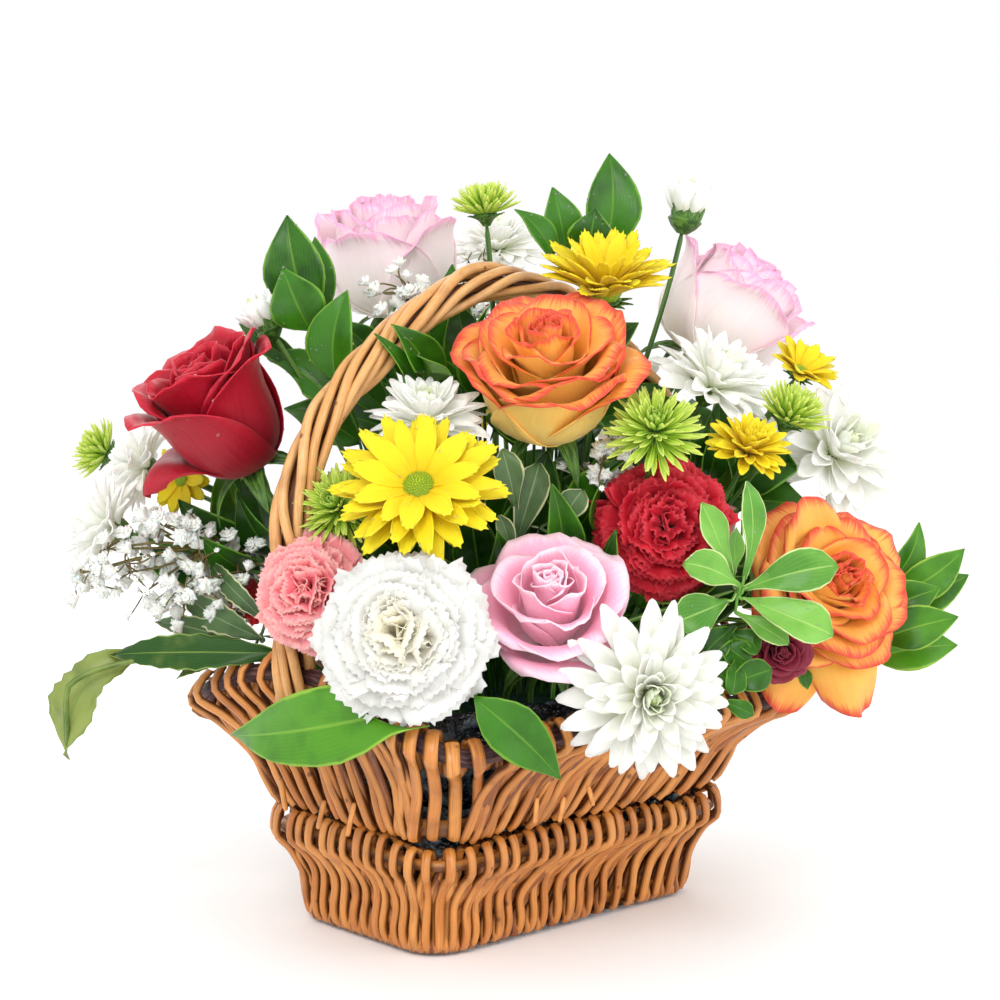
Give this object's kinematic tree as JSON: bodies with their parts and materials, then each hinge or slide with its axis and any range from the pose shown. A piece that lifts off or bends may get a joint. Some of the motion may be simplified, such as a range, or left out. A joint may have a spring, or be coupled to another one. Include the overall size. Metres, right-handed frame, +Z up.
{
  "type": "flower basket arrangement",
  "caption": "Willow basket with a fixed twisted arch handle, filled with cut roses, carnations, daisies, chrysanthemums and foliage standing in wet foam.",
  "frame": {"origin": "middle of the basket's flat underside, on the surface that it stands on", "axes": "+Z up; X runs along the basket and the handle's arch; -Y is the basket's front long side"},
  "size_m": [0.3438, 0.3448, 0.3429],
  "materials": {
    "willow": "bare natural willow rod, satin",
    "willow_light": "bare natural willow rod, satin",
    "rod_dark": "dark bark-on willow, satin",
    "film": "thin dark film, glossy",
    "foam": "wet floral foam, matte",
    "leaf": "living leaf, waxy",
    "leaf_pale": "pale variegated leaf, satin",
    "leaf_grey": "grey-green leaf, matte",
    "floret_white": "fresh petals, matte",
    "petal_red": "fresh petals, velvety",
    "petal_scarlet": "fresh petals, velvety",
    "petal_blush": "fresh petals, satin",
    "petal_orange": "fresh petals, satin",
    "petal_pink": "fresh petals, satin",
    "petal_coral": "fresh petals, matte",
    "petal_burgundy": "fresh petals, satin",
    "petal_white": "fresh petals, matte",
    "petal_yellow": "fresh petals, satin",
    "petal_green": "fresh petals, matte"
  },
  "bodies": {
    "root": {"basket_floor": "willow", "lower_weave": "willow", "lower_hoop": "willow_light", "upper_weave": "willow", "rim_rod": "rod_dark", "handle": "willow_light", "carnation_white": "petal_white", "mum_white_front": "petal_white", "rose_pink": "petal_pink", "daisy_yellow_front": "petal_yellow", "carnation_coral": "petal_coral", "button_green_low": "petal_green", "button_green_mid": "petal_green", "rose_orange_top": "petal_orange", "carnation_red": "petal_scarlet", "mum_white_upper": "petal_white", "rose_burgundy": "petal_burgundy", "rose_orange_right": "petal_orange", "daisy_yellow_right": "petal_yellow", "button_green_right": "petal_green", "rose_red": "petal_red", "daisy_yellow_top": "petal_yellow", "mum_white_tall": "petal_white", "daisy_yellow_far": "petal_yellow", "mum_white_right": "petal_white", "rose_blush_right": "petal_blush", "rose_blush_left": "petal_blush", "mum_white_back": "petal_white", "daisy_yellow_left": "petal_yellow", "mum_white_left_low": "petal_white", "mum_white_left_high": "petal_white", "button_green_left": "petal_green", "button_green_top": "petal_green", "bud_white_left": "petal_white", "bud_white_right": "petal_white", "rose_orange_back": "petal_orange", "carnation_white_back": "petal_white", "rose_pink_back": "petal_pink", "daisy_yellow_back": "petal_yellow", "mum_white_back_mid": "petal_white", "carnation_red_back": "petal_scarlet", "mum_white_far": "petal_white", "pittosporum_front": "leaf_pale", "pittosporum_low": "leaf", "leaf_over_left_rim": "leaf", "leaf_over_front_rim": "leaf", "pittosporum_centre": "leaf_grey", "ruscus_centre": "leaf", "ruscus_left": "leaf", "ruscus_top": "leaf", "ruscus_right": "leaf", "leaf_long_left": "leaf", "leaves_grey_left": "leaf_grey", "leaves_back": "leaf", "breath_left": "floret_white", "breath_top_left": "floret_white", "breath_top": "floret_white", "breath_centre": "floret_white", "liner": "film", "foam": "foam"}
  },
  "joints": []
}
